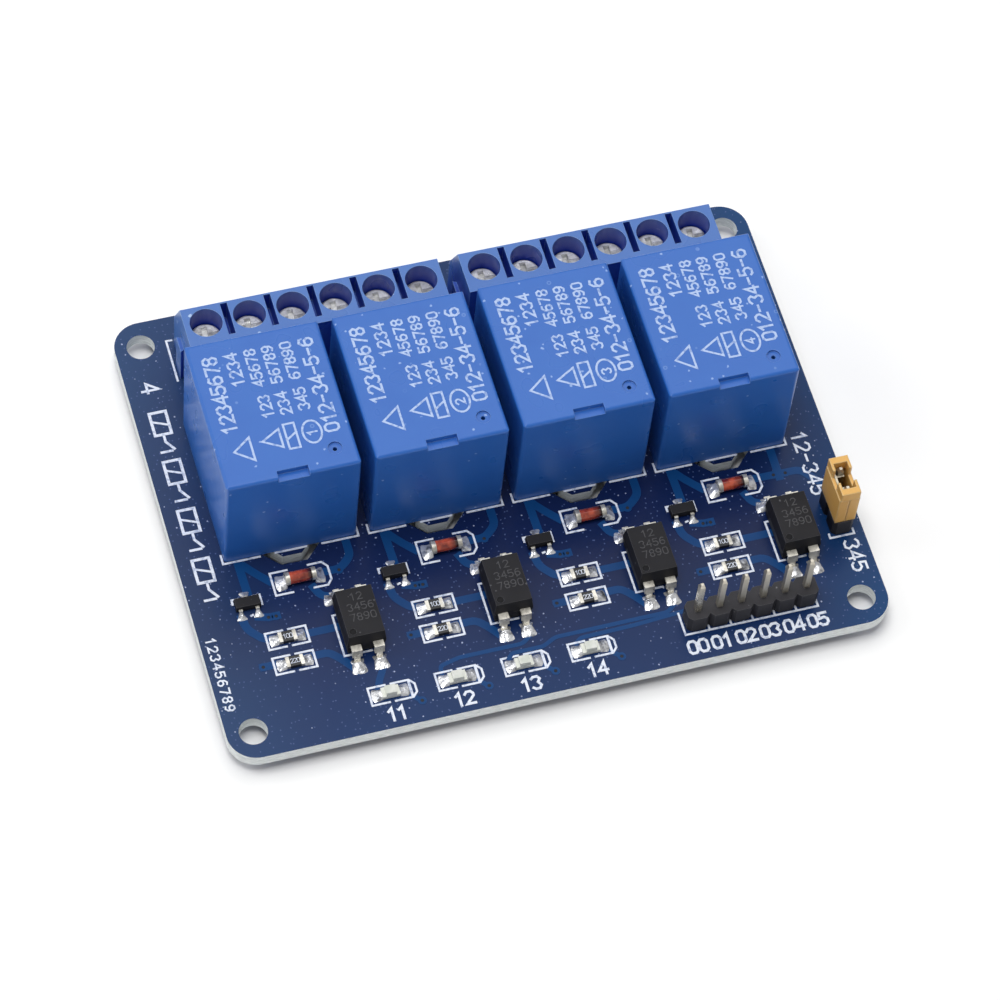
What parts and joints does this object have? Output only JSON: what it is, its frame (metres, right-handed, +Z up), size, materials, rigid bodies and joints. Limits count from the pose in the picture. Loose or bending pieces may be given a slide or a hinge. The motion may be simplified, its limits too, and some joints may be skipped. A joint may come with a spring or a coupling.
{
  "type": "relay module board",
  "caption": "Printed circuit board with mechanical relays in a row, screw terminal blocks along the back edge, opto-isolated input channels and pin headers.",
  "frame": {"origin": "centre of the mounting-hole pattern, on the underside of the board", "axes": "+X along the board's length to the right, +Y towards the screw terminals, +Z up out of the component side"},
  "size_m": [0.076, 0.0578, 0.0187],
  "materials": {
    "board": "satin solder mask over glass-fibre laminate, dark blue",
    "solder": "bright tin solder",
    "terminal_plastic": "moulded blue nylon, semi-gloss",
    "plated_steel": "nickel-plated steel",
    "relay_base_plastic": "dark blue moulded base",
    "soft_iron": "zinc-plated soft iron",
    "bobbin_plastic": "black moulded bobbin",
    "copper_wire": "enamelled copper winding",
    "contact_metal": "brass strip and tinned pins",
    "chip_plastic": "matt black moulding compound",
    "tinned_leads": "tinned copper leads",
    "diode_glass": "orange-red glass body",
    "resistor_body": "black glazed film on ceramic",
    "lamp_carrier": "white carrier",
    "lamp_lens": "clear resin lens",
    "header_plastic": "matt black nylon",
    "pin_metal": "tin- and gold-flashed brass pins",
    "jumper_plastic": "amber moulded plastic",
    "relay_cover_plastic": "blue moulded case, satin top, glossy sides"
  },
  "bodies": {
    "board": {"pcb": "board", "surface_solder": "solder", "through_hole_solder": "solder", "terminal_block_left": "terminal_plastic", "terminal_block_right": "terminal_plastic", "clamp_frames": "plated_steel", "relay_bases": "relay_base_plastic", "relay_yokes": "soft_iron", "relay_bobbins": "bobbin_plastic", "relay_windings": "copper_wire", "relay_contacts": "contact_metal", "optocouplers": "chip_plastic", "optocoupler_leads": "tinned_leads", "transistors": "chip_plastic", "transistor_leads": "tinned_leads", "diodes": "diode_glass", "diode_caps": "tinned_leads", "resistors": "resistor_body", "resistor_caps": "tinned_leads", "lamps": "lamp_carrier", "lamp_lenses": "lamp_lens", "input_header": "header_plastic", "jumper_header": "header_plastic", "header_pins": "pin_metal", "relay_cover_1": "relay_cover_plastic", "relay_cover_2": "relay_cover_plastic", "relay_cover_3": "relay_cover_plastic", "relay_cover_4": "relay_cover_plastic"},
    "plate_1": {"pressure_plate_1": "plated_steel"},
    "screw_1": {"terminal_screw_1": "plated_steel"},
    "plate_2": {"pressure_plate_2": "plated_steel"},
    "screw_2": {"terminal_screw_2": "plated_steel"},
    "plate_3": {"pressure_plate_3": "plated_steel"},
    "screw_3": {"terminal_screw_3": "plated_steel"},
    "plate_4": {"pressure_plate_4": "plated_steel"},
    "screw_4": {"terminal_screw_4": "plated_steel"},
    "plate_5": {"pressure_plate_5": "plated_steel"},
    "screw_5": {"terminal_screw_5": "plated_steel"},
    "plate_6": {"pressure_plate_6": "plated_steel"},
    "screw_6": {"terminal_screw_6": "plated_steel"},
    "plate_7": {"pressure_plate_7": "plated_steel"},
    "screw_7": {"terminal_screw_7": "plated_steel"},
    "plate_8": {"pressure_plate_8": "plated_steel"},
    "screw_8": {"terminal_screw_8": "plated_steel"},
    "plate_9": {"pressure_plate_9": "plated_steel"},
    "screw_9": {"terminal_screw_9": "plated_steel"},
    "plate_10": {"pressure_plate_10": "plated_steel"},
    "screw_10": {"terminal_screw_10": "plated_steel"},
    "plate_11": {"pressure_plate_11": "plated_steel"},
    "screw_11": {"terminal_screw_11": "plated_steel"},
    "plate_12": {"pressure_plate_12": "plated_steel"},
    "screw_12": {"terminal_screw_12": "plated_steel"},
    "armature_1": {"relay_armature_1": "soft_iron"},
    "armature_2": {"relay_armature_2": "soft_iron"},
    "armature_3": {"relay_armature_3": "soft_iron"},
    "armature_4": {"relay_armature_4": "soft_iron"},
    "jumper": {"jumper_cap": "jumper_plastic", "jumper_clip": "contact_metal"}
  },
  "joints": [
    {"name": "plate_1_lift", "type": "slide", "parent": "board", "child": "plate_1", "axis": [0, 0, 1], "range_m": [0, 0.002]},
    {"name": "screw_1_turn", "type": "hinge", "parent": "plate_1", "child": "screw_1", "pos_m": [-0.0287, 0.0206, 0.009], "axis": [0, 0, 1], "range_deg": [0, 1440]},
    {"name": "plate_2_lift", "type": "slide", "parent": "board", "child": "plate_2", "axis": [0, 0, 1], "range_m": [0, 0.002]},
    {"name": "screw_2_turn", "type": "hinge", "parent": "plate_2", "child": "screw_2", "pos_m": [-0.0237, 0.0206, 0.009], "axis": [0, 0, 1], "range_deg": [0, 1440]},
    {"name": "plate_3_lift", "type": "slide", "parent": "board", "child": "plate_3", "axis": [0, 0, 1], "range_m": [0, 0.002]},
    {"name": "screw_3_turn", "type": "hinge", "parent": "plate_3", "child": "screw_3", "pos_m": [-0.0187, 0.0206, 0.009], "axis": [0, 0, 1], "range_deg": [0, 1440]},
    {"name": "plate_4_lift", "type": "slide", "parent": "board", "child": "plate_4", "axis": [0, 0, 1], "range_m": [0, 0.002]},
    {"name": "screw_4_turn", "type": "hinge", "parent": "plate_4", "child": "screw_4", "pos_m": [-0.0137, 0.0206, 0.009], "axis": [0, 0, 1], "range_deg": [0, 1440]},
    {"name": "plate_5_lift", "type": "slide", "parent": "board", "child": "plate_5", "axis": [0, 0, 1], "range_m": [0, 0.002]},
    {"name": "screw_5_turn", "type": "hinge", "parent": "plate_5", "child": "screw_5", "pos_m": [-0.0087, 0.0206, 0.009], "axis": [0, 0, 1], "range_deg": [0, 1440]},
    {"name": "plate_6_lift", "type": "slide", "parent": "board", "child": "plate_6", "axis": [0, 0, 1], "range_m": [0, 0.002]},
    {"name": "screw_6_turn", "type": "hinge", "parent": "plate_6", "child": "screw_6", "pos_m": [-0.0037, 0.0206, 0.009], "axis": [0, 0, 1], "range_deg": [0, 1440]},
    {"name": "plate_7_lift", "type": "slide", "parent": "board", "child": "plate_7", "axis": [0, 0, 1], "range_m": [0, 0.002]},
    {"name": "screw_7_turn", "type": "hinge", "parent": "plate_7", "child": "screw_7", "pos_m": [0.0037, 0.0206, 0.009], "axis": [0, 0, 1], "range_deg": [0, 1440]},
    {"name": "plate_8_lift", "type": "slide", "parent": "board", "child": "plate_8", "axis": [0, 0, 1], "range_m": [0, 0.002]},
    {"name": "screw_8_turn", "type": "hinge", "parent": "plate_8", "child": "screw_8", "pos_m": [0.0087, 0.0206, 0.009], "axis": [0, 0, 1], "range_deg": [0, 1440]},
    {"name": "plate_9_lift", "type": "slide", "parent": "board", "child": "plate_9", "axis": [0, 0, 1], "range_m": [0, 0.002]},
    {"name": "screw_9_turn", "type": "hinge", "parent": "plate_9", "child": "screw_9", "pos_m": [0.0137, 0.0206, 0.009], "axis": [0, 0, 1], "range_deg": [0, 1440]},
    {"name": "plate_10_lift", "type": "slide", "parent": "board", "child": "plate_10", "axis": [0, 0, 1], "range_m": [0, 0.002]},
    {"name": "screw_10_turn", "type": "hinge", "parent": "plate_10", "child": "screw_10", "pos_m": [0.0187, 0.0206, 0.009], "axis": [0, 0, 1], "range_deg": [0, 1440]},
    {"name": "plate_11_lift", "type": "slide", "parent": "board", "child": "plate_11", "axis": [0, 0, 1], "range_m": [0, 0.002]},
    {"name": "screw_11_turn", "type": "hinge", "parent": "plate_11", "child": "screw_11", "pos_m": [0.0237, 0.0206, 0.009], "axis": [0, 0, 1], "range_deg": [0, 1440]},
    {"name": "plate_12_lift", "type": "slide", "parent": "board", "child": "plate_12", "axis": [0, 0, 1], "range_m": [0, 0.002]},
    {"name": "screw_12_turn", "type": "hinge", "parent": "plate_12", "child": "screw_12", "pos_m": [0.0287, 0.0206, 0.009], "axis": [0, 0, 1], "range_deg": [0, 1440]},
    {"name": "armature_1_pull", "type": "hinge", "parent": "board", "child": "armature_1", "pos_m": [-0.0252, -0.00285, 0.01265], "axis": [1, 0, 0], "range_deg": [-3, 0], "stiffness_Nm_per_rad": 0.02, "springref_deg": 5.73},
    {"name": "armature_2_pull", "type": "hinge", "parent": "board", "child": "armature_2", "pos_m": [-0.0084, -0.00285, 0.01265], "axis": [1, 0, 0], "range_deg": [-3, 0], "stiffness_Nm_per_rad": 0.02, "springref_deg": 5.73},
    {"name": "armature_3_pull", "type": "hinge", "parent": "board", "child": "armature_3", "pos_m": [0.0084, -0.00285, 0.01265], "axis": [1, 0, 0], "range_deg": [-3, 0], "stiffness_Nm_per_rad": 0.02, "springref_deg": 5.73},
    {"name": "armature_4_pull", "type": "hinge", "parent": "board", "child": "armature_4", "pos_m": [0.0252, -0.00285, 0.01265], "axis": [1, 0, 0], "range_deg": [-3, 0], "stiffness_Nm_per_rad": 0.02, "springref_deg": 5.73},
    {"name": "jumper_pull", "type": "slide", "parent": "board", "child": "jumper", "axis": [0, 0, 1], "range_m": [0, 0.006]}
  ],
  "couplings": [
    {"joint": "screw_1_turn", "follows": "plate_1_lift", "rad_per_m": 12566},
    {"joint": "screw_2_turn", "follows": "plate_2_lift", "rad_per_m": 12566},
    {"joint": "screw_3_turn", "follows": "plate_3_lift", "rad_per_m": 12566},
    {"joint": "screw_4_turn", "follows": "plate_4_lift", "rad_per_m": 12566},
    {"joint": "screw_5_turn", "follows": "plate_5_lift", "rad_per_m": 12566},
    {"joint": "screw_6_turn", "follows": "plate_6_lift", "rad_per_m": 12566},
    {"joint": "screw_7_turn", "follows": "plate_7_lift", "rad_per_m": 12566},
    {"joint": "screw_8_turn", "follows": "plate_8_lift", "rad_per_m": 12566},
    {"joint": "screw_9_turn", "follows": "plate_9_lift", "rad_per_m": 12566},
    {"joint": "screw_10_turn", "follows": "plate_10_lift", "rad_per_m": 12566},
    {"joint": "screw_11_turn", "follows": "plate_11_lift", "rad_per_m": 12566},
    {"joint": "screw_12_turn", "follows": "plate_12_lift", "rad_per_m": 12566}
  ]
}
